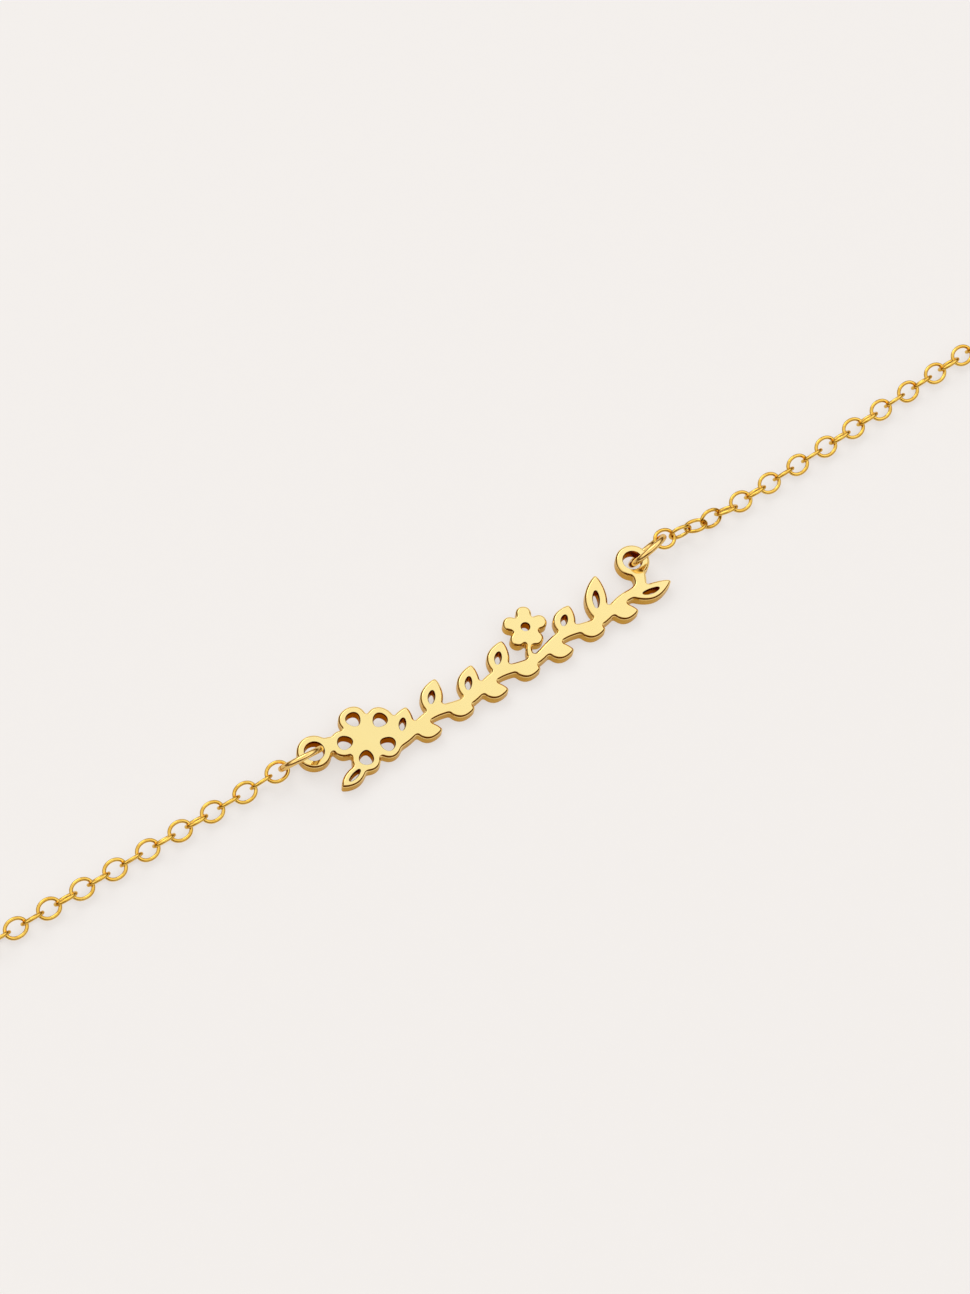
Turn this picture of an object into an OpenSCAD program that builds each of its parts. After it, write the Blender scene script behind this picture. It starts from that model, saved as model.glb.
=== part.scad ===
// Nameplate bracelet, closed and laid flat: a pierced ornamental plate with two eyelets,
// a jump ring in each eyelet, two lengths of fine cable chain and a spring ring clasp.
// Sizes are in millimetres. X runs along the plate, Y up its face and Z off the table.

/* [Plate] */
// Distance between the centres of the two eyelets
eyelet_span = 21.7; // [20:0.1:25]
// Height of the eyelet centres above the plate's bottom edge
eyelet_y = 2.88; // [2.7:0.02:3.2]
// Outer diameter of an eyelet
eyelet_d = 1.96; // [1.8:0.02:2.3]
// Width of the hole in an eyelet
eyelet_hole = 1.08; // [1.04:0.02:1.12]
// Thickness of the plate
plate_t = 0.75; // [0.6:0.05:0.8]
// Height of the vine's row of leaves
low_h = 2.35; // [2.1:0.05:2.7]
// Height of the two blossoms
tall_h = 4.1; // [3.8:0.05:4.6]
// Width of the thinnest stalk
thin_w = 0.34; // [0.3:0.02:0.4]
// Width of the thickest stalk
thick_w = 0.78; // [0.6:0.02:0.9]
// Radius that the pierced corners are rounded to
corner_r = 0.07; // [0.04:0.01:0.1]

/* [Jump rings] */
// Outer diameter of a jump ring
ring_d = 2.78; // [2.7:0.02:3]
// Wire of a jump ring
ring_wire = 0.34; // [0.3:0.02:0.36]
// Lean of the standing jump rings from upright, in degrees
ring_lean = 27; // [20:1:32]

/* [Chain] */
// Wire of a chain link
link_wire = 0.2; // [0.15:0.01:0.22]
// Outer width of a chain link
link_w = 1.24; // [1.16:0.02:1.36]
// Distance from one link to the next
link_pitch = 1.055; // [1:0.005:1.2]
// Play between two linked wires
link_gap = 0.14; // [0.13:0.01:0.16]

/* [Clasp] */
// Outer diameter of the spring ring
clasp_d = 5; // [4.6:0.1:6]
// Thickness of the spring ring
clasp_t = 0.9; // [0.8:0.05:1]
// Outer diameter of the small ring that is soldered to it
tail_d = 1.9; // [1.8:0.05:2.2]
// Wire of that small ring
tail_wire = 0.4; // [0.35:0.05:0.45]

/* [Hidden] */

// The eyelets stand on the jump rings' wires and the bottom edge on the table
seat_gap = 0.1;
plate_tilt = asin((ring_wire + seat_gap) / eyelet_y);
eyelet_x = eyelet_span / 2;
row_y = -0.31;   // the eyelets' centres lie this far below the chain's line

// Shares of the plate's own sizes that place its ornament
blossom_r = tall_h / 2;
blossom_x = -eyelet_x + eyelet_d / 2 + blossom_r * 0.94;
vine_from = blossom_x + blossom_r * 0.74;   // where the stem leaves the blossom
vine_to = eyelet_x - eyelet_d * 0.8;        // where it turns up to the right eyelet
pairs = 7;                                  // leaves on each side of the stem
step = (vine_to - vine_from) / pairs;
stem_mid = low_h * 0.44;
stem_swing = low_h * 0.09;
stem_w = thick_w * 0.8;
floret_r = tall_h * 0.26;
floret_at = 4;                              // this upper leaf gives way to the small blossom
tip_r = corner_r * 1.2;

function foot_x(k) = vine_from + step * k;
function stem_y(x) = stem_mid - stem_swing * cos((x - vine_from) / step * 180);

// Outline of a stroke through pts, ws[i] wide at pts[i]
function stroke(pts, ws) =
    let (n = len(pts),
         side = [for (i = [0:n - 1])
             let (d = pts[min(i + 1, n - 1)] - pts[max(i - 1, 0)])
             [-d.y, d.x] / norm(d) * ws[i] / 2])
    concat([for (i = [0:n - 1]) pts[i] + side[i]],
           [for (i = [n - 1:-1:0]) pts[i] - side[i]]);

// Point at share t of the curve that leaves a towards b and comes into d from c
function curve(a, b, c, d, t) =
    a * pow(1 - t, 3) + b * 3 * t * pow(1 - t, 2) + c * 3 * t * t * (1 - t) + d * pow(t, 3);

// A round-ended stroke along such a curve, from width w0 through w1 to w2
module curved_stroke(a, b, c, d, w0, w1, w2) {
    steps = 12;
    polygon(stroke([for (i = [0:steps]) curve(a, b, c, d, i / steps)],
                   [for (i = [0:steps]) let (t = i / steps)
                       w0 * (1 - t) * (1 - 2 * t) + 4 * w1 * t * (1 - t) + w2 * t * (2 * t - 1)]));
    translate(a) circle(d = w0, $fn = 20);
    translate(d) circle(d = w2, $fn = 20);
}

// A leaf from its foot to its tip, w wide, bent sideways by bend, fullest at share full
module leaf(foot, tip, w, bend = 0, full = 0.42) {
    steps = 10;
    axis = tip - foot;
    across = [-axis.y, axis.x] / norm(axis);
    k = ln(0.5) / ln(full);
    polygon([for (i = [0:2 * steps - 1])
        let (t = i <= steps ? i / steps : 2 - i / steps,
             s = i <= steps ? 1 : -1,
             half = w / 2 * pow(max(0, sin(180 * pow(t, k))), 0.8))
        foot + axis * t + across * (bend * sin(180 * t) + s * half)]);
}

// The slit along the middle of such a leaf, where the leaf is widest
module slit(foot, tip, w, bend = 0, full = 0.42) {
    axis = tip - foot;
    aside = [-axis.y, axis.x] / norm(axis) * bend * 0.9;
    leaf(foot + axis * (full - 0.2) + aside, foot + axis * (full + 0.2) + aside, w * 0.26, bend * 0.2, 0.5);
}

// One petal of the blossom at the given place, from near to far off its middle
module petal(at, turn, near, far, w) {
    translate(at) rotate(turn)
        polygon([for (a = [0:15:345])
            [near + (far - near) * (1 - cos(a)) / 2, w / 2 * sin(a) * (1 - 0.3 * cos(a))]]);
}

// Turns of the five petals round the blossom's eye
petals = [for (k = [0:4]) 20 + 72 * k];
blossom = [blossom_x, blossom_r];
floret = [foot_x(floret_at) + step * 0.34, tall_h - floret_r * 1.25];

// The wavy stem, which leaves the blossom and rises to the right eyelet
module stem() {
    steps = 8 * pairs;
    xs = [for (i = [0:steps]) vine_from + (vine_to - vine_from) * i / steps];
    polygon(stroke([for (x = xs) [x, stem_y(x)]], [for (x = xs) stem_w]));
    start = [vine_from, stem_y(vine_from)];
    curved_stroke([blossom_x, blossom_r * 0.6], [blossom_x + step * 0.2, start.y],
                  start - [step * 0.2, 0], start, thick_w, thick_w, stem_w);
    end = [vine_to, stem_y(vine_to)];
    curved_stroke(end, end + [eyelet_d * 0.3, 0], [eyelet_x - eyelet_d * 0.2, eyelet_y - eyelet_d * 0.9],
                  [eyelet_x - eyelet_d * 0.08, eyelet_y - eyelet_d * 0.4],
                  stem_w, stem_w, thick_w);
    curved_stroke([foot_x(floret_at), stem_y(foot_x(floret_at))], [foot_x(floret_at), low_h * 0.8],
                  floret - [step * 0.1, floret_r * 1.2], floret, thick_w * 0.6, thin_w, thin_w);
}

// Heights of the upper leaves' tips as shares of low_h
tips = [1.02, 1.25, 1.08, 1.2, 0, 1.1, 1.41];

// Foot, tip, width, bend and fullest share of each leaf: above the stem, below it, one beside
// the blossom and two at the stem's end
leaves = concat(
    [for (k = [0:pairs - 1]) if (k != floret_at)
        [[foot_x(k), stem_y(foot_x(k))], [foot_x(k) + step * (0.46 + tips[k] * 0.15), low_h * tips[k]],
         step * 0.58, step * 0.03, 0.46]],
    [for (k = [0:pairs - 1]) let (x = foot_x(k + 0.42))
        [[x, stem_y(x)], [x + step * 0.62, low_h * (k % 2 == 0 ? 0.06 : 0.095)], step * 0.46, -step * 0.02, 0.46]],
    [[blossom + [-blossom_r * 0.2, -blossom_r * 0.5], [-eyelet_x + eyelet_d * 0.05, blossom_r * 0.14],
      blossom_r * 0.46, blossom_r * 0.05, 0.6],
     [[vine_to, stem_y(vine_to)], [eyelet_x + eyelet_d * 0.62, low_h * 0.3], step * 0.44, -step * 0.1, 0.5]]);

// The neck that joins the blossom to the left eyelet
module neck() {
    left = [-eyelet_x, eyelet_y];
    curved_stroke(left + [eyelet_d * 0.36, 0], left + [eyelet_d * 0.45, 0], left + [eyelet_d * 0.5, 0],
                  left + [eyelet_d * 0.58, -eyelet_d * 0.04], thick_w, thick_w, thick_w * 0.9);
}

module solid_ornament() {
    translate(blossom) circle(d = blossom_r * 0.6, $fn = 30);
    translate(floret) circle(d = floret_r, $fn = 30);
    for (turn = petals) {
        petal(blossom, turn, blossom_r * 0.06, blossom_r, blossom_r * 0.76);
        petal(floret, turn - 30, floret_r * 0.1, floret_r * 1.22, floret_r * 0.8);
    }
    stem();
    for (l = leaves) leaf(l[0], l[1], l[2], l[3], l[4]);
    neck();
    for (s = [-1, 1]) translate([s * eyelet_x, eyelet_y]) circle(d = eyelet_d, $fn = 48);
}

// Outline of the plate: corners rounded, then the eyelets, petals, upper and end leaves pierced
module plate_face() {
    difference() {
        offset(r = tip_r, $fn = 16) offset(delta = -tip_r)
            offset(r = -corner_r, $fn = 16) offset(delta = corner_r) solid_ornament();
        for (turn = petals) petal(blossom, turn, blossom_r * 0.4, blossom_r * 0.8, blossom_r * 0.36);
        translate(floret) circle(d = floret_r * 0.46, $fn = 24);
        for (l = leaves) if (l[1].y > low_h || l[2] < step * 0.45) slit(l[0], l[1], l[2], l[3], l[4]);
        for (s = [-1, 1]) translate([s * eyelet_x, eyelet_y]) circle(d = eyelet_hole, $fn = 48);
    }
}

// Where a standing ring's centre lies, from its place on the table and its turn
ring_r = (ring_d - ring_wire) / 2;
ring_z = ring_r * cos(ring_lean) + ring_wire / 2;
hold_r = ring_r - (ring_wire + link_wire) / 2 - link_gap;

function turned(v, yaw) = [v.x * cos(yaw) - v.y * sin(yaw), v.x * sin(yaw) + v.y * cos(yaw), v.z];

// Point where a link's end wire hangs in a ring at [x, y], turned by yaw, on its side s and
// low degrees below the middle of that side
function hold_point(at, yaw, s, low = 33) =
    [at.x, at.y, ring_z] + hold_r * turned([s * cos(low), sin(ring_lean) * sin(low),
                                           -cos(ring_lean) * sin(low)], yaw);

module wire_ring(outer, wire) {
    rotate_extrude($fn = 48) translate([(outer - wire) / 2, 0]) circle(d = wire, $fn = 48);
}

module standing_ring(at, yaw) {
    color("gold") translate([at.x, at.y, ring_z]) rotate(yaw) rotate([90 + ring_lean, 0, 0])
        wire_ring(ring_d, ring_wire);
}

// Place and turn of the rings in the eyelets: each has swung a little its own way
ring_y = row_y - 0.02;
left_ring = [-eyelet_x - ring_r * 0.74, ring_y];
left_yaw = -4;
right_ring = [eyelet_x + ring_r * 0.83, ring_y];
right_yaw = 12;

// Corners of the chain's route on the table, x and y, each with the radius it is rounded to.
// From the right ring it runs on in line with the plate and comes round the plain way to the
// left ring, with the clasp on the straight stretch after its fourth corner
chain_route = [[17.5, -0.38, 8], [25, -0.15, 8], [45.0, 0.89, 3.5], [-1.2, -49.7, 5],
               [-45.3, -18.3, 5], [-34.9, 0.14, 5], [-17, 0.02, 8]];
right_route = [for (i = [0:3]) chain_route[i]];
left_route = [for (i = [6:-1:4]) chain_route[i]];
far_corner = [chain_route[3].x, chain_route[3].y];
near_corner = [chain_route[4].x, chain_route[4].y];
clasp_dir = (near_corner - far_corner) / norm(near_corner - far_corner);
clasp_yaw = atan2(clasp_dir.y, clasp_dir.x);
clasp_at = far_corner + clasp_dir * 14.07;
clasp_lift = ring_wire + seat_gap;
tail_from_centre = (clasp_d + tail_d) / 2 - tail_wire * 0.6;
clasp_out = 0.1;    // the end ring's middle lies this far outside the middle of the clasp's wire
tail_out = 0.3;     // and the clasp ring's this far outside the small ring's
ring_aside = 0.25;  // both lie this far to the side that they lean to
aside = ring_aside * [clasp_dir.y, -clasp_dir.x];
end_ring_at = clasp_at - clasp_dir * ((clasp_d - clasp_t) / 2 + clasp_out) + aside;
clasp_ring_at = clasp_at + clasp_dir * (tail_from_centre + (tail_d - tail_wire) / 2 + tail_out) + aside;

// Arc that rounds the corner a between p and q to radius r
function rounded_corner(p, a, q, r) =
    let (u = (p - a) / norm(p - a), v = (q - a) / norm(q - a),
         half = acos(u * v) / 2, reach = r / tan(half),
         centre = a + (u + v) / norm(u + v) * r / sin(half),
         from = a + u * reach - centre, turn = 180 - 2 * half,
         s = u.x * v.y - u.y * v.x > 0 ? -1 : 1, steps = max(2, ceil(turn / 6)))
    [for (i = [0:steps]) let (t = s * turn * i / steps)
        centre + [from.x * cos(t) - from.y * sin(t), from.x * sin(t) + from.y * cos(t)]];

// Points of a whole route, from a hold point through its corners to another
function route_points(start, corners, end) =
    let (all = concat([[start.x, start.y]], [for (c = corners) [c.x, c.y]], [[end.x, end.y]]))
    concat([all[0]],
           [for (i = [1:len(corners)]) each rounded_corner(all[i - 1], all[i], all[i + 1], corners[i - 1].z)],
           [all[len(all) - 1]]);

function lengths(pts) =
    [for (i = 0, s = 0; i < len(pts); s = i + 1 < len(pts) ? s + norm(pts[i + 1] - pts[i]) : s, i = i + 1) s];

function point_at(pts, ls, s) =
    let (i = max([for (k = [0:len(pts) - 2]) if (k == 0 || ls[k] <= s) k]),
         t = (s - ls[i]) / (ls[i + 1] - ls[i]))
    pts[i] + (pts[i + 1] - pts[i]) * t;

// Height of the chain's middle: held up by the rings at both ends, on the table between
link_half = (link_w - link_wire) / 2;
link_turn = 30;
settle = 4.05;   // length over which the chain comes down from a ring
rest_z = link_half * cos(link_turn) + link_wire / 2;
function ease(t) = t >= 1 ? 1 : t <= 0 ? 0 : t * t * (3 - 2 * t);
function height_at(s, total, z0) = z0 + (rest_z - z0) * ease(min(s, total - s) / settle);

// Every second link lies back by link_turn and the ones between stand on edge across it, but the
// first links after the right ring hang askew: each one's turn about its own length, its turn in
// plan and how much more steeply it falls, in mm over its length
first_links = [[25, 1.7, 0.18], [93, -3.4, 0.08], [-24, 2.4, -0.02], [60, -0.5, 0.14], [-49, -6.4, 0.03]];
function askew(k, hand) = hand > 0 && k < len(first_links) ? first_links[k] : undef;
wander = 5;   // how far a link strays from its turn, in degrees
function link_roll(k, n, hand) =
    askew(k, hand) != undef ? askew(k, hand)[0]
    : hand * ((n - 1 - k) % 2 == 0 ? link_turn : link_turn - 90)
      + (k == 0 || k == n - 1 ? 0 : wander * sin(131 * k));

// How far the link [middle, direction, roll, pitch] reaches from its middle along axis i
function reach(l, i) =
    let (d = l[1] / norm(l[1]), yaw = atan2(d.y, d.x), lat = turned([0, cos(l[2]), sin(l[2])], yaw))
    abs(d[i]) * (l[3] + link_gap + 2 * link_wire - link_w) / 2
    + link_half * norm([d[i], lat[i]]) + link_wire / 2;

// Every link of one length of chain: middle, direction, roll and pitch. The count is even on the
// right, hand 1, and odd on the left, hand -1, so that both ends suit their rings
function links(start, corners, end, hand) =
    let (pts = route_points(start, corners, end), ls = lengths(pts), total = ls[len(ls) - 1],
         free = total - link_gap - link_wire,
         n = hand > 0 ? 2 * round(free / link_pitch / 2) : 2 * round((free / link_pitch - 1) / 2) + 1,
         pitch = free / n, span = pitch + link_gap + link_wire)
    [for (k = [0:n - 1])
        let (s = span / 2 + k * pitch, roll = link_roll(k, n, hand),
             a = point_at(pts, ls, s - span / 2), b = point_at(pts, ls, s + span / 2), m = (a + b) / 2,
             dz = height_at(min(s + span / 2, total), total, start.z)
                  - height_at(max(s - span / 2, 0), total, start.z),
             own = askew(k, hand) == undef ? [0, 0, 0] : askew(k, hand),
             d = turned([b.x - a.x, b.y - a.y, dz - own[2]], own[1]))
        [[m.x, m.y, max(height_at(s, total, start.z), reach([m, d, roll, pitch], 2))], d, roll, pitch]];

right_links = links(hold_point(right_ring, right_yaw, 1, 20), right_route,
                    hold_point(end_ring_at, clasp_yaw, -1), 1);
left_links = links(hold_point(left_ring, left_yaw, -1, 23), left_route,
                   hold_point(clasp_ring_at, clasp_yaw, 1), -1);

module link(pitch) {
    // a round number, so that the straights meet the ends exactly
    straight = round((pitch + link_gap + 2 * link_wire - link_w) * 5000) / 5000;
    for (s = [0, 1]) mirror([s, 0, 0]) translate([straight / 2, 0, 0]) rotate(-90)
        rotate_extrude(angle = 180, $fn = 48) translate([link_half, 0]) circle(d = link_wire, $fn = 40);
    for (s = [-1, 1]) translate([0, s * link_half, 0]) rotate([0, 90, 0])
        cylinder(d = link_wire, h = straight, center = true, $fn = 40);
}

module chain(all_links) {
    for (l = all_links) let (d = l[1])
        translate(l[0]) rotate([0, -atan2(d.z, norm([d.x, d.y])), atan2(d.y, d.x)])
            rotate([l[2], 0, 0]) link(l[3]);
}

// The part stands centred on its origin
all_links = concat(left_links, right_links);
plate_y = row_y - eyelet_y * cos(plate_tilt) + plate_t * sin(plate_tilt);
x_low = min([for (l = all_links) l[0].x - reach(l, 0)]);
x_high = max([for (l = all_links) l[0].x + reach(l, 0)]);
y_low = min([for (l = all_links) l[0].y - reach(l, 1)]);
y_high = max(max([for (l = all_links) l[0].y + reach(l, 1)]), plate_y + tall_h * cos(plate_tilt));
middle = -[(x_low + x_high) / 2, (y_low + y_high) / 2, 0];

module nameplate() {
    color("gold") translate([0, plate_y, 0]) rotate([plate_tilt, 0, 0])
        linear_extrude(plate_t) plate_face();
}

module jump_ring_left() {
    standing_ring(left_ring, left_yaw);
}

module jump_ring_right() {
    standing_ring(right_ring, right_yaw);
}

module chain_left() {
    color("goldenrod") chain(left_links);
}

module chain_right() {
    color("goldenrod") chain(right_links);
}

// The spring ring, shut, with its thumb stud and the small ring soldered to it
module clasp() {
    stud_r = (clasp_d - clasp_t) / 2;
    color("gold") translate([clasp_at.x, clasp_at.y, clasp_lift + clasp_t / 2]) rotate(clasp_yaw) {
        wire_ring(clasp_d, clasp_t);
        translate([tail_from_centre, 0, 0]) wire_ring(tail_d, tail_wire);
        rotate(125) translate([stud_r, 0, 0]) rotate([0, 90, 0])
            cylinder(d = clasp_t * 0.5, h = clasp_t, $fn = 32);
    }
}

module clasp_ring() {
    standing_ring(clasp_ring_at, clasp_yaw);
}

module end_ring() {
    standing_ring(end_ring_at, clasp_yaw);
}

translate(middle) nameplate();
translate(middle) jump_ring_left();
translate(middle) jump_ring_right();
translate(middle) chain_left();
translate(middle) chain_right();
translate(middle) clasp();
translate(middle) clasp_ring();
translate(middle) end_ring();
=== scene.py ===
import math

import bmesh
import bpy
import numpy as np
from mathutils import Matrix, Vector
from mathutils.geometry import tessellate_polygon


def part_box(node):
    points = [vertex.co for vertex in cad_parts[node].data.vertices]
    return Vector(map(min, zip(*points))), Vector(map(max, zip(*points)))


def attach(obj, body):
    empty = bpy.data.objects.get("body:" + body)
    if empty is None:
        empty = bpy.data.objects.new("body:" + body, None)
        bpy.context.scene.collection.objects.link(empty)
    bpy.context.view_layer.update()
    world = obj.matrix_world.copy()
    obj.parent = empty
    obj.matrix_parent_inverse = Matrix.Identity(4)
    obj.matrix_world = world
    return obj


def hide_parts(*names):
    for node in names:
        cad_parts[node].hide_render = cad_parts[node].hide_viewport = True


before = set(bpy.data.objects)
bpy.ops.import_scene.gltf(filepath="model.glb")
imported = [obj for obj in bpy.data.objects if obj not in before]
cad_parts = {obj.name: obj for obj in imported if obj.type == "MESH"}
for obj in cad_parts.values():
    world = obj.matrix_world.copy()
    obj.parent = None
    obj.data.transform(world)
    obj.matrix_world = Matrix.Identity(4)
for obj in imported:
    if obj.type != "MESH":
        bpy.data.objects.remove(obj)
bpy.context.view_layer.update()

MM = 0.001                # a millimetre in metres
WELD = 0.000002           # points of the frame's meshes that lie nearer than this, in metres, are one
FULL_TURN = 2 * math.pi
UPWARD = np.array([0, 0, 1.0])

# Plate
PLATE_T = 0.75            # thickness
OUTLINE_STEP = 0.04       # distance between the points of its outlines
OUTLINE_ROUNDS = 6        # how many times the outlines are smoothed
# The polished upper rim and the back one: how far each row of points lies inside the
# outline, and how far below the top face
RIM = [(0.0, 0.16), (0.0, 0.13), (0.01, 0.104), (0.026, 0.084), (0.058, 0.052), (0.09, 0.02),
       (0.108, 0.006), (0.126, 0.0), (0.138, 0.0)]
BACK = [(0.0, PLATE_T - 0.06), (0.0, PLATE_T - 0.04), (0.012, PLATE_T - 0.012), (0.04, PLATE_T),
        (0.055, PLATE_T)]
PIERCED_SHARE = 0.45      # width of the pierced openings' rims, as a share of the outer one's
FACE, ROUNDED, SHADED_CUT, PIERCED_SHADE = range(4)   # the plate's golds, in the order of its materials; the two walls' deeper golds are painted shade

# Rings and links
RING_WIRE_R = 0.185       # a little more than the solids' 0.17, to look as stout as the real ones
RING_STEPS, RING_SIDES = 120, 24
SEAM_DEPTH = 0.1          # share of the wire's radius that is missing where its ends were soldered
SEAM_WIDTH = 0.035        # in radians round the ring
LINK_PLAY = 0.14          # play between the solids' links
LINK_PLAY_SHOWN = 0.012   # play between the links shown here
LINK_WIRE_R = 0.108
LINK_SQUARENESS = 2.06    # 2 is a plain oval, more fills its shoulders
LINK_STEPS, LINK_SIDES = 40, 14

# Clasp, with its angles in degrees round the spring ring from the small soldered ring
CLASP_R = 2.05            # middle of the spring ring's tube
CLASP_TUBE_R = 0.45
CLASP_STEPS, CLASP_SIDES = 180, 28
CLASP_OUT = 0.1           # the end ring stands this far outside the middle of the tube
RING_ASIDE = 0.25         # and this far to the side that it leans to
GATE_AT, GATE_HALF = 214, 34            # middle and half length of the gap that the tongue closes
GATE_FADE, GATE_DEPTH = 1.5, 0.1        # how softly the tube ends there, and how much thinner the tongue is
STUD_AT = 125             # the thumb stud
SLOT_AT, SLOT_HALF = STUD_AT - 22, 28   # the slot that the stud slides along
SLOT_FADE, SLOT_DEPTH = 2, 0.12
SLOT_NARROW = 0.96        # cosine of the slot's half width, round the tube
# Radius and height of the stud's turned stem, from the middle of the tube
STUD_STEM = [(0.19, 0.3), (0.19, 0.58), (0.225, 0.62), (0.225, 0.82), (0.19, 0.88), (0.1, 0.9)]
STUD_SIDES = 24
TAIL_R = 0.75             # middle of the small soldered ring's wire
TAIL_WIRE_R = 0.2
TAIL_SUNK = 0.6           # share of that wire's width that is sunk in the spring ring
TAIL_STEPS, TAIL_SIDES = 72, 20
SOLDER_RADII = (0.2, 0.3, 0.24)
SOLDER_SUNK = 0.02

# Camera, at the photograph's angle
AZIMUTH, ELEVATION = math.radians(-35), math.radians(59)
SENSOR = 36               # width of the sensor, in Blender's millimetres
LONG_SIDE_PX = 1294       # the photograph's long side
FOCAL_PX = 3700           # focal length, in the photograph's pixels
PX_PER_MM = 17.8          # how large the bracelet is in them
AIM = Vector((2.595, 23.761, 0.46))     # the point that the middle of the picture shows
AIM_UP = 0.14             # and how far above it the camera looks
CLIP_M = 0.01, 20         # nearest and furthest that it sees, in metres

RIGHT = Vector((math.cos(AZIMUTH), math.sin(AZIMUTH), 0))
TO_CAMERA = Vector((math.sin(AZIMUTH) * math.cos(ELEVATION),
                    -math.cos(AZIMUTH) * math.cos(ELEVATION), math.sin(ELEVATION)))
UP = TO_CAMERA.cross(RIGHT)

# Studio, with its lengths in metres
FLOOR_HALF = 1.5
PAPER_GLOW = 0.68         # share of the paper's light that comes through it from below
PAPER_LIGHT = (0.90, 0.867, 0.843, 1.0)
PAPER_TINTS = (0.2358, 0.2291, 0.2230, 1.0), (0.2419, 0.2351, 0.2298, 1.0)
SOFTBOX_TOWARDS = (0.05, 0.65, 0.76)
SOFTBOX_DISTANCE, SOFTBOX_SIZE, SOFTBOX_POWER = 1.0, 0.6, 2.0
# The light tent's colours by height, from the horizon at 0 to overhead at 1
TENT_STOPS = [(0.0, (0.11, 0.05, 0.010)), (0.28, (0.175, 0.095, 0.03)), (0.48, (0.9, 0.88, 0.85)),
              (0.66, (1.7, 1.7, 1.68)), (0.8, (1.45, 1.45, 1.44)), (0.91, (1.1, 1.1, 1.1)),
              (1.0, (1.0, 1.0, 1.0))]
TENT_DARK = (0.115, 0.045, 0.004, 1.0)  # its open front
TENT_BACKDROP = (0.9, 0.88, 0.86, 1.0)  # what shows past the paper's end
OPEN_FROM, OPEN_FULLY = 0.58, 0.84      # cosines of the angles off its middle where it begins and is full


def add_camera():
    data = bpy.data.cameras.new("camera")
    data.sensor_width = SENSOR
    data.lens = FOCAL_PX * SENSOR / LONG_SIDE_PX
    data.clip_start, data.clip_end = CLIP_M
    cam = bpy.data.objects.new("camera", data)
    bpy.context.scene.collection.objects.link(cam)
    place = AIM + UP * AIM_UP + TO_CAMERA * (FOCAL_PX / PX_PER_MM)
    turn = Matrix((RIGHT, UP, TO_CAMERA)).transposed().to_4x4()
    cam.matrix_world = Matrix.Translation(place * MM) @ turn
    bpy.context.scene.camera = cam


# Shader groups
FLOAT, COLOUR, VECTOR = "NodeSocketFloat", "NodeSocketColor", "NodeSocketVector"


def new_group(name, inputs, outputs):
    """A shader group with its sockets; returns the group and its input and output nodes."""
    group = bpy.data.node_groups.new(name, "ShaderNodeTree")
    for label, kind, value in inputs:
        socket = group.interface.new_socket(label, in_out="INPUT", socket_type=kind)
        if value is not None:
            socket.default_value = value
    for label, kind in outputs:
        group.interface.new_socket(label, in_out="OUTPUT", socket_type=kind)
    return group, group.nodes.new("NodeGroupInput"), group.nodes.new("NodeGroupOutput")


def give(tree, socket, value):
    """Links a socket to another one, or sets its value."""
    if isinstance(value, bpy.types.NodeSocket):
        tree.links.new(value, socket)
    else:
        socket.default_value = value


def node(tree, kind, values=(), **settings):
    """A node of the tree with its settings, and its sockets' values or links."""
    made = tree.nodes.new("ShaderNode" + kind)
    for key, value in settings.items():
        setattr(made, key, value)
    for key, value in dict(values).items():
        give(tree, made.inputs[key], value)
    return made


def use_group(tree, group, **values):
    """A shader group placed in a material, with that material's values."""
    made = tree.nodes.new("ShaderNodeGroup")
    made.node_tree = group
    for key, value in values.items():
        give(tree, made.inputs[key.replace("_", " ")], value)
    return made


def plating_tone_group():
    """Slow drifts of tone in the gold plating, deeper where it is thicker."""
    group, given, out = new_group(
        "plating tone",
        [("Place", VECTOR, None), ("Colour", COLOUR, None), ("Deep Colour", COLOUR, None),
         ("Patch Size", FLOAT, 1.2), ("Amount", FLOAT, 0.4)],
        [("Colour", COLOUR)])
    scale = node(group, "Math", {0: 1.0, 1: given.outputs["Patch Size"]}, operation="DIVIDE")
    place = node(group, "VectorMath", {0: given.outputs["Place"], "Scale": scale.outputs[0]},
                 operation="SCALE")
    drift = node(group, "TexNoise", {"Vector": place.outputs[0], "Scale": 1.0, "Detail": 3.0,
                                     "Roughness": 0.5})
    spread = node(group, "MapRange", {"Value": drift.outputs["Fac"], "From Min": 0.35, "From Max": 0.7})
    share = node(group, "Math", {0: spread.outputs[0], 1: given.outputs["Amount"]}, operation="MULTIPLY")
    mix = node(group, "Mix", {"Factor": share.outputs[0], 6: given.outputs["Colour"],
                              7: given.outputs["Deep Colour"]}, data_type="RGBA")
    group.links.new(mix.outputs[2], out.inputs["Colour"])
    return group


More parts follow.
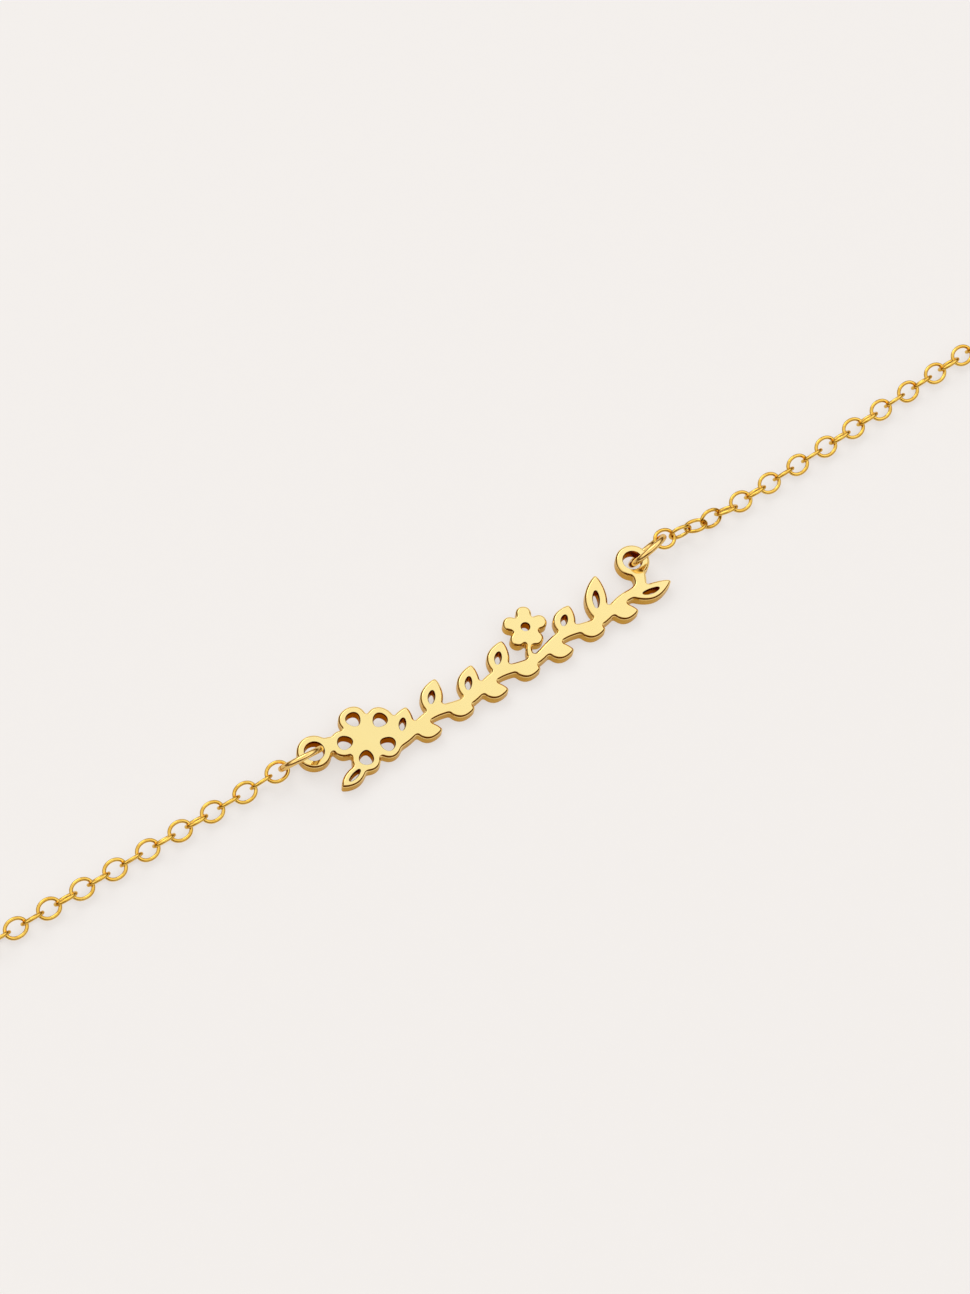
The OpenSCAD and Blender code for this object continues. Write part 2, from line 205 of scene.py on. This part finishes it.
def polish_marks_group():
    """What the polishing wheel leaves: soft waves, fine hairlines and cloudy patches."""
    group, given, out = new_group(
        "polish marks",
        [("Place", VECTOR, None), ("Roughness", FLOAT, 0.1), ("Cloud", FLOAT, 0.08),
         ("Hairlines", FLOAT, 0.3), ("Waves", FLOAT, 0.5)],
        [("Roughness", FLOAT), ("Height", FLOAT)])
    cloud = node(group, "TexNoise", {"Vector": given.outputs["Place"], "Scale": 1.7, "Detail": 4.0})
    cloudy = node(group, "MapRange", {"Value": cloud.outputs["Fac"], "From Min": 0.4, "From Max": 0.75})
    added = node(group, "Math", {0: cloudy.outputs[0], 1: given.outputs["Cloud"],
                                 2: given.outputs["Roughness"]}, operation="MULTIPLY_ADD")
    turned = node(group, "Mapping", {"Vector": given.outputs["Place"], "Rotation": (0.0, 0.0, 0.6),
                                     "Scale": (2.0, 34.0, 9.0)})
    hair = node(group, "TexNoise", {"Vector": turned.outputs[0], "Scale": 1.0, "Detail": 2.0})
    fine = node(group, "MapRange", {"Value": hair.outputs["Fac"], "From Min": 0.58, "From Max": 0.72})
    wave = node(group, "TexNoise", {"Vector": given.outputs["Place"], "Scale": 0.8, "Detail": 1.0})
    waves = node(group, "Math", {0: wave.outputs["Fac"], 1: given.outputs["Waves"]}, operation="MULTIPLY")
    height = node(group, "Math", {0: fine.outputs[0], 1: given.outputs["Hairlines"],
                                  2: waves.outputs[0]}, operation="MULTIPLY_ADD")
    group.links.new(added.outputs[0], out.inputs["Roughness"])
    group.links.new(height.outputs[0], out.inputs["Height"])
    return group


PLATING_TONE = plating_tone_group()
POLISH_MARKS = polish_marks_group()


# Gold finishes
def gold(name, colour, deep, rough, cloud=0.05, patch=1.2, amount=0.5, hairlines=0.3, waves=0.5,
         bump=0.1, edge=(1.0, 0.9, 0.7)):
    """Polished gold plating: its colour, its deeper tone and how far the polish went."""
    material = bpy.data.materials.new(name)
    material.use_nodes = True
    tree = material.node_tree
    shader = tree.nodes["Principled BSDF"]
    shader.inputs["Metallic"].default_value = 1.0
    shader.inputs["Specular Tint"].default_value = (*edge, 1.0)
    coords = node(tree, "TexCoord")
    place = node(tree, "VectorMath", {0: coords.outputs["Object"], "Scale": 1 / MM}, operation="SCALE")
    tone = use_group(tree, PLATING_TONE, Place=place.outputs[0], Colour=(*colour, 1.0),
                     Deep_Colour=(*deep, 1.0), Patch_Size=patch, Amount=amount)
    marks = use_group(tree, POLISH_MARKS, Place=place.outputs[0], Roughness=rough, Cloud=cloud,
                      Hairlines=hairlines, Waves=waves)
    relief = node(tree, "Bump", {"Height": marks.outputs["Height"], "Strength": bump,
                                 "Distance": 0.02 * MM})
    tree.links.new(tone.outputs["Colour"], shader.inputs["Base Color"])
    tree.links.new(marks.outputs["Roughness"], shader.inputs["Roughness"])
    tree.links.new(relief.outputs["Normal"], shader.inputs["Normal"])
    return material


FACE_GOLD = gold("plate_face_gold", (0.925, 0.755, 0.335), (0.90, 0.705, 0.275), 0.07,
                 patch=3.0, bump=0.04)
RIM_GOLD = gold("plate_rim_gold", (0.89, 0.66, 0.26), (0.83, 0.56, 0.17), 0.06, cloud=0.02,
                patch=0.8, hairlines=0.1, bump=0.03)
# painted shade: the plate's walls get a deeper, darker gold than its face, though it is one plating
SHADED_WALL_GOLD = gold("plate_wall_painted_shade_gold", (0.60, 0.33, 0.045), (0.50, 0.24, 0.022), 0.2, cloud=0.1,
                 patch=0.6, amount=0.7)
# painted shade: the walls inside the pierced openings get a still darker gold and a darker edge tint
HOLE_WALL_SHADE_GOLD = gold("plate_hole_wall_painted_shade_gold", (0.34, 0.10, 0.008), (0.24, 0.06, 0.004), 0.22,
                    cloud=0.1, patch=0.6, amount=0.7, edge=(0.8, 0.5, 0.2))
RING_GOLD = gold("jump_ring_gold", (0.80, 0.55, 0.20), (0.70, 0.40, 0.09), 0.16, patch=0.5)
CHAIN_GOLD = gold("chain_gold", (0.76, 0.49, 0.10), (0.64, 0.34, 0.035), 0.12, patch=0.6, amount=0.7)
CLASP_GOLD = gold("clasp_gold", (0.91, 0.70, 0.31), (0.80, 0.54, 0.18), 0.12, patch=1.0, bump=0.08)


# Meshes
def new_piece(name, verts, faces, materials, node_name, faces_of=(), crease=40):
    """A smooth-shaded piece that stands for a CAD node. faces_of gives each face's material."""
    mesh = bpy.data.meshes.new(name)
    mesh.from_pydata([tuple(v) for v in np.asarray(verts) * MM], [], faces)
    mesh.update()
    for material in materials:
        mesh.materials.append(material)
    if len(faces_of):
        mesh.polygons.foreach_set("material_index", faces_of)
    mesh.polygons.foreach_set("use_smooth", [True] * len(mesh.polygons))
    mesh.set_sharp_from_angle(angle=math.radians(crease))
    piece = bpy.data.objects.new(name, mesh)
    bpy.context.scene.collection.objects.link(piece)
    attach(piece, "root")
    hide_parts(node_name)


def welded(node_name):
    """A CAD node's mesh with its doubled points joined; the caller frees it."""
    bm = bmesh.new()
    bm.from_mesh(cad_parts[node_name].data)
    bmesh.ops.remove_doubles(bm, verts=bm.verts, dist=WELD)
    return bm


def shells(node_name):
    """The points of each separate solid of a CAD node."""
    bm = welded(node_name)
    found, seen = [], set()
    for start in bm.verts:
        if start in seen:
            continue
        seen.add(start)
        shell, waiting = [], [start]
        while waiting:
            v = waiting.pop()
            shell.append(v.co[:])
            for e in v.link_edges:
                w = e.other_vert(v)
                if w not in seen:
                    seen.add(w)
                    waiting.append(w)
        found.append(np.array(shell) / MM)
    bm.free()
    return found


def own_axes(points):
    """Middle, axes as rows from the longest to the shortest, and half sizes along them."""
    about = points - points.mean(0)
    axes = np.linalg.eigh(about.T @ about)[1].T[::-1]
    axes[2] = np.cross(axes[0], axes[1])
    along = points @ axes.T
    low, high = along.min(0), along.max(0)
    return (low + high) / 2 @ axes, axes, (high - low) / 2


def band(first, count):
    """Faces that join a closed row of points to the next row, which follows it in the list."""
    pairs = [(i, (i + 1) % count) for i in range(count)]
    return [(first + i, first + count + i, first + count + j, first + j) for i, j in pairs]


def round_path(radius, steps):
    turn = np.linspace(0, FULL_TURN, steps, endpoint=False)
    return np.stack([radius * np.cos(turn), radius * np.sin(turn), 0 * turn], 1)


def even_loop(points, spacing):
    """The same flat outline with points at even distances."""
    closed = np.vstack([points, points[:1]])
    run = np.concatenate([[0], np.cumsum(np.linalg.norm(np.diff(closed, axis=0), axis=1))])
    at = np.linspace(0, run[-1], max(16, int(run[-1] / spacing)), endpoint=False)
    return np.stack([np.interp(at, run, closed[:, k]) for k in (0, 1)], 1)


def even_path(path):
    """The same flat path with about as many points, at even distances."""
    flat = even_loop(path[:, :2], np.linalg.norm(np.diff(path, axis=0), axis=1).mean())
    return np.column_stack([flat, np.zeros(len(flat))])


def swept_loop(path, radius, sides):
    """A round wire along a closed flat path. The radius may differ by point, and by side too."""
    count = len(path)
    tangent = np.roll(path, -1, 0) - np.roll(path, 1, 0)
    tangent /= np.linalg.norm(tangent, axis=1)[:, None]
    outward = np.stack([tangent[:, 1], -tangent[:, 0], np.zeros(count)], 1)
    turn = np.linspace(0, FULL_TURN, sides, endpoint=False)
    radius = np.asarray(radius, float)
    if radius.ndim < 2:
        radius = np.broadcast_to(radius, (count,))[:, None]
    verts = (path[:, None] + (radius * np.cos(turn))[..., None] * outward[:, None]
             + (radius * np.sin(turn))[..., None] * UPWARD)
    faces = [(i * sides + j, (i + 1) % count * sides + j, (i + 1) % count * sides + (j + 1) % sides,
              i * sides + (j + 1) % sides) for i in range(count) for j in range(sides)]
    return verts.reshape(-1, 3), faces


def joined(parts):
    """One list of points and faces from several."""
    verts, faces, first = [], [], 0
    for v, f in parts:
        verts.append(np.asarray(v))
        faces += [tuple(i + first for i in face) for face in f]
        first += len(v)
    return np.concatenate(verts), faces


# Plate
def plate_loops():
    """The plate's outlines in its own plane, its axes as rows and the height of its top."""
    bm = welded("nameplate")
    bm.normal_update()
    tops = [f for f in bm.faces if f.normal.z > 0.9]
    normal = sum((f.normal * f.calc_area() for f in tops), Vector()).normalized()
    across = normal.cross(Vector((1, 0, 0))).normalized()
    axes = np.array([(1, 0, 0), across, normal])
    top = [f for f in tops if f.normal.dot(normal) > 0.999]   # in the mesh's order, the same each run
    of_top = set(top)
    ahead = {}
    for f in top:
        for loop in f.loops:
            if not any(g in of_top for g in loop.edge.link_faces if g is not f):
                ahead[loop.vert] = loop.link_loop_next.vert
    loops = []
    while ahead:
        v = next(iter(ahead))
        ring = []
        while v in ahead:
            ring.append(v.co[:])
            v = ahead.pop(v)
        loops.append(np.array(ring) / MM @ axes.T)
    bm.free()
    return [loop[:, :2] for loop in loops], axes, loops[0][:, 2].mean()


def crossed(a, b):
    """The flat cross product of two steps or of two lists of them."""
    return a[..., 0] * b[..., 1] - a[..., 1] * b[..., 0]


def softened(points, rounds):
    for _ in range(rounds):
        points = points * 0.5 + (np.roll(points, 1, 0) + np.roll(points, -1, 0)) * 0.25
    return points


def inset(points, distance):
    """The outline moved into the metal, which lies on its left."""
    tangent = np.roll(points, -1, 0) - np.roll(points, 1, 0)
    tangent /= np.maximum(np.linalg.norm(tangent, axis=1), 1e-9)[:, None]
    return points + np.stack([-tangent[:, 1], tangent[:, 0]], 1) * distance


def uncrossed(row, reach=48):
    """An inset row without the small loops that it makes where it runs past a narrow tip.

    Each loop is looked for among the next points, as many as reach says.
    """
    row, count = row.copy(), len(row)
    for i in range(count):
        later = (i + np.arange(2, reach)) % count
        step, steps = row[(i + 1) % count] - row[i], row[(later + 1) % count] - row[later]
        slant, off = crossed(step, steps), row[later] - row[i]
        slant = np.where(np.abs(slant) < 1e-12, 1e-12, slant)
        here, there = crossed(off, steps) / slant, crossed(off, step) / slant
        hits = np.flatnonzero((here > 0) & (here < 1) & (there > 0) & (there < 1))
        if len(hits):
            loop = hits[-1] + 3
            share = (np.arange(1, loop) / loop)[:, None]
            row[(i + np.arange(1, loop)) % count] = row[i] * (1 - share) + row[(i + loop) % count] * share
    return row


def rim_rows(line, profile, top, width):
    """Rows of points along a rim's profile, from the plate's wall inwards."""
    row, before, rows = line, 0.0, []
    for depth, drop in profile:
        depth *= width
        if depth > before:
            row = uncrossed(softened(inset(row, depth - before), 1))
        rows.append(np.column_stack([row, np.full(len(line), top - drop)]))
        before = depth
    return rows


def edge_gold(strip, pierced):
    """The finish of a strip of the plate's edge, counted from the top face down. The walls' deeper golds
    are painted shade, darkest in the pierced openings.
    """
    if strip == 0:
        return FACE
    if pierced:
        return PIERCED_SHADE
    return ROUNDED if strip < len(RIM) - 2 else SHADED_CUT


def cap(ends, upward):
    """Triangles that close one side of the plate, each turned to face outward."""
    index = [first + i for first, row in ends for i in range(len(row))]
    flat = np.concatenate([row[:, :2] for _, row in ends])
    triangles = []
    for corners in tessellate_polygon([[Vector((x, y, 0)) for x, y, _ in row] for _, row in ends]):
        a, b, c = (flat[i] for i in corners)
        face = tuple(index[i] for i in corners)
        triangles.append(face if (crossed(b - a, c - a) > 0) == upward else face[::-1])
    return triangles


def make_plate():
    """The pierced plate: polished face, rounded rims and walls of the cut in darker golds that are painted
    shade, darkest in the openings.
    """
    outlines, axes, top = plate_loops()
    verts, faces, faces_of, front, rear = [], [], [], [], []
    first = 0
    for outline in outlines:
        line = softened(even_loop(outline, OUTLINE_STEP), OUTLINE_ROUNDS)
        pierced = crossed(line, np.roll(line, -1, 0)).sum() < 0
        width = PIERCED_SHARE if pierced else 1
        rows = rim_rows(line, RIM, top, width)[::-1] + rim_rows(line, BACK, top, width)
        count, strips = len(line), len(rows) - 1
        for strip in range(strips):
            faces += band(first + strip * count, count)
            faces_of += [edge_gold(strip, pierced)] * count
        front.append((first, rows[0]))
        rear.append((first + strips * count, rows[-1]))
        verts += rows
        first += len(rows) * count
    for ends, finish in ((front, FACE), (rear, SHADED_CUT)):
        triangles = cap(ends, upward=finish == FACE)
        faces += triangles
        faces_of += [finish] * len(triangles)
    new_piece("ornament_plate", np.concatenate(verts) @ axes, faces,
              [FACE_GOLD, RIM_GOLD, SHADED_WALL_GOLD, HOLE_WALL_SHADE_GOLD], "nameplate", faces_of, crease=35)


# Rings and links
def make_ring(name, node_name, seam_turn):
    """A round wire ring with the fine seam where its ends were soldered."""
    middle, axes, half = own_axes(shells(node_name)[0])
    turn = np.linspace(0, FULL_TURN, RING_STEPS, endpoint=False)
    off = np.angle(np.exp(1j * (turn - seam_turn)))
    wire = RING_WIRE_R * (1 - SEAM_DEPTH * np.exp(-(off / SEAM_WIDTH) ** 2))
    verts, faces = swept_loop(round_path(half[0] - RING_WIRE_R, RING_STEPS), wire, RING_SIDES)
    new_piece(name, verts @ axes + middle, faces, [RING_GOLD], node_name)


def full_shouldered(wave):
    """A sine or cosine, bent so that the oval that it draws fills its shoulders."""
    return np.sign(wave) * np.abs(wave) ** (2 / LINK_SQUARENESS)


def make_chain(name, node_name):
    """Oval links where the solids' links lie, with the play that a worn chain has."""
    links = [own_axes(shell) for shell in shells(node_name)]
    long_half, wide_half, wire_r = np.mean([half for _, _, half in links], 0)
    long_r = long_half - wire_r - (LINK_PLAY - LINK_PLAY_SHOWN) / 2 + LINK_WIRE_R - wire_r
    wide_r = wide_half - LINK_WIRE_R
    turn = np.linspace(0, FULL_TURN, LINK_STEPS, endpoint=False)
    path = even_path(np.stack([long_r * full_shouldered(np.cos(turn)),
                               wide_r * full_shouldered(np.sin(turn)), 0 * turn], 1))
    verts, faces = swept_loop(path, LINK_WIRE_R, LINK_SIDES)
    verts, faces = joined([(verts @ axes + middle, faces) for middle, axes, _ in links])
    new_piece(name, verts, faces, [CHAIN_GOLD], node_name)


# Clasp
def clasp_place():
    """The clasp's middle, between its two rings, and its axes as rows."""
    end_ring, clasp_ring = (Vector(sum(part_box(n), Vector()) / 2 / MM) for n in ("end_ring", "clasp_ring"))
    along = (clasp_ring - end_ring).xy.normalized()
    side = Vector((along.y, -along.x))
    low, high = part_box("clasp")
    spot = end_ring.xy + along * (CLASP_R + CLASP_OUT) - side * RING_ASIDE
    axes = np.array([[along.x, along.y, 0], [-along.y, along.x, 0], [0, 0, 1]])
    return np.array([*spot, (low.z + high.z) / 2 / MM]), axes


def spring_tube():
    """The spring ring's tube, with the thinner tongue in its gap and the stud's slot."""
    turn = np.degrees(np.linspace(0, FULL_TURN, CLASP_STEPS, endpoint=False))
    around = np.linspace(0, FULL_TURN, CLASP_SIDES, endpoint=False)
    off_gate, off_slot = (np.abs((turn - at + 180) % 360 - 180) for at in (GATE_AT, SLOT_AT))
    gate = np.clip((GATE_HALF - off_gate) / GATE_FADE, 0, 1)
    slot = np.clip((SLOT_HALF - off_slot) / SLOT_FADE, 0, 1)
    tube = np.full((CLASP_STEPS, CLASP_SIDES), CLASP_TUBE_R)
    tube -= gate[:, None] * GATE_DEPTH
    tube -= slot[:, None] * (np.cos(around) > SLOT_NARROW)[None] * SLOT_DEPTH
    return swept_loop(round_path(CLASP_R, CLASP_STEPS), tube, CLASP_SIDES)


def solder_bead(centre, radii, rings=12, sides=20):
    """The rounded solder between the spring ring and the small ring."""
    verts, faces = [], []
    for i in range(rings + 1):
        t = math.pi * i / rings
        for j in range(sides):
            p = FULL_TURN * j / sides
            verts.append([centre.x + radii[0] * math.sin(t) * math.cos(p),
                          centre.y + radii[1] * math.sin(t) * math.sin(p),
                          centre.z + radii[2] * math.cos(t)])
    for i in range(rings):
        faces += band(i * sides, sides)
    return np.array(verts), faces


def thumb_stud():
    """A small turned stud that points outward from the middle of the ring's tube."""
    at = math.radians(STUD_AT)
    out = np.array([math.cos(at), math.sin(at), 0])
    side = np.cross(out, UPWARD)
    sides, last = STUD_SIDES, len(STUD_STEM) - 1
    verts = [out * (CLASP_R + h) + side * r * math.cos(p) + UPWARD * r * math.sin(p)
             for r, h in STUD_STEM for p in np.linspace(0, FULL_TURN, sides, endpoint=False)]
    faces = [(i * sides + j, i * sides + (j + 1) % sides, (i + 1) * sides + (j + 1) % sides,
              (i + 1) * sides + j) for i in range(last) for j in range(sides)]
    faces.append(tuple(last * sides + j for j in range(sides)))
    return np.array(verts), faces


def make_clasp():
    """The spring ring with its thumb stud and small soldered ring."""
    middle, axes = clasp_place()
    reach = CLASP_R + CLASP_TUBE_R + TAIL_R + TAIL_WIRE_R - 2 * TAIL_WIRE_R * TAIL_SUNK
    tail, tail_faces = swept_loop(round_path(TAIL_R, TAIL_STEPS), TAIL_WIRE_R, TAIL_SIDES)
    bead_at = Vector((CLASP_R + CLASP_TUBE_R - SOLDER_SUNK, 0, 0))
    verts, faces = joined([spring_tube(), (tail + [reach, 0, 0], tail_faces),
                           solder_bead(bead_at, SOLDER_RADII), thumb_stud()])
    new_piece("spring_ring_clasp", verts @ axes + middle, faces, [CLASP_GOLD], "clasp",
              crease=45)


# Studio
def paper_material():
    """Pale, very slightly warm paper with a faint tooth."""
    material = bpy.data.materials.new("studio_paper")
    material.use_nodes = True
    tree = material.node_tree
    shader = tree.nodes["Principled BSDF"]
    coords = node(tree, "TexCoord")
    tooth = node(tree, "TexNoise", {"Vector": coords.outputs["Object"], "Scale": 900.0, "Detail": 3.0})
    tint = node(tree, "Mix", {"Factor": tooth.outputs["Fac"], 6: PAPER_TINTS[0], 7: PAPER_TINTS[1]},
                data_type="RGBA")
    relief = node(tree, "Bump", {"Height": tooth.outputs["Fac"], "Strength": 0.03, "Distance": 0.1 * MM})
    tree.links.new(tint.outputs[2], shader.inputs["Base Color"])
    tree.links.new(relief.outputs["Normal"], shader.inputs["Normal"])
    shader.inputs["Roughness"].default_value = 0.85
    shader.inputs["Specular IOR Level"].default_value = 0.1
    # lit softly from below as well, as on a light table, so that the shadows stay faint
    shader.inputs["Emission Color"].default_value = PAPER_LIGHT
    shader.inputs["Emission Strength"].default_value = PAPER_GLOW
    return material


def add_floor():
    corners = [(x * FLOOR_HALF, y * FLOOR_HALF, 0) for x, y in ((-1, -1), (1, -1), (1, 1), (-1, 1))]
    mesh = bpy.data.meshes.new("studio_floor")
    mesh.from_pydata(corners, [], [(0, 1, 2, 3)])
    mesh.materials.append(paper_material())
    floor = bpy.data.objects.new("studio_floor", mesh)
    bpy.context.scene.collection.objects.link(floor)


def add_softbox():
    """A large soft lamp overhead and behind."""
    data = bpy.data.lights.new("overhead_softbox", "AREA")
    data.shape, data.size, data.energy = "DISK", SOFTBOX_SIZE, SOFTBOX_POWER
    light = bpy.data.objects.new("overhead_softbox", data)
    bpy.context.scene.collection.objects.link(light)
    towards = Vector(SOFTBOX_TOWARDS).normalized()
    light.location = towards * SOFTBOX_DISTANCE + AIM * MM
    light.rotation_mode = "QUATERNION"
    light.rotation_quaternion = towards.to_track_quat("Z", "Y")


def add_tent():
    """A white light tent: bright overhead, dimmer low down, open and dark on the front side."""
    world = bpy.data.worlds.new("light_tent")
    bpy.context.scene.world = world
    world.use_nodes = True
    tree = world.node_tree
    background = tree.nodes["Background"]
    coords = node(tree, "TexCoord")
    height = node(tree, "SeparateXYZ", {0: coords.outputs["Generated"]})
    walls = node(tree, "ValToRGB", {0: height.outputs["Z"]})
    ramp = walls.color_ramp
    ramp.interpolation = "EASE"
    while len(ramp.elements) < len(TENT_STOPS):
        ramp.elements.new(0.5)
    for element, (at, colour) in zip(ramp.elements, TENT_STOPS):
        element.position, element.color = at, (*colour, 1.0)
    front = node(tree, "VectorMath", {0: coords.outputs["Generated"],
                                      1: (math.sin(AZIMUTH), -math.cos(AZIMUTH), 0)},
                 operation="DOT_PRODUCT")
    opening = node(tree, "MapRange", {"Value": front.outputs["Value"], "From Min": OPEN_FROM,
                                      "From Max": OPEN_FULLY}, interpolation_type="SMOOTHSTEP")
    tent = node(tree, "Mix", {"Factor": opening.outputs[0], 6: walls.outputs[0], 7: TENT_DARK},
                data_type="RGBA")
    seen = node(tree, "LightPath")
    shown = node(tree, "Mix", {"Factor": seen.outputs["Is Camera Ray"], 6: tent.outputs[2],
                               7: TENT_BACKDROP}, data_type="RGBA")
    tree.links.new(shown.outputs[2], background.inputs["Color"])
    background.inputs["Strength"].default_value = 1.0


add_camera()
add_floor()
add_tent()
add_softbox()
bpy.context.scene.view_settings.view_transform = "Standard"

make_plate()
make_ring("jump_ring_left_wire", "jump_ring_left", seam_turn=0.4)
make_ring("jump_ring_right_wire", "jump_ring_right", seam_turn=3.6)
make_ring("clasp_ring_wire", "clasp_ring", seam_turn=1.3)
make_ring("end_ring_wire", "end_ring", seam_turn=4.4)
make_chain("cable_chain_left", "chain_left")
make_chain("cable_chain_right", "chain_right")
make_clasp()
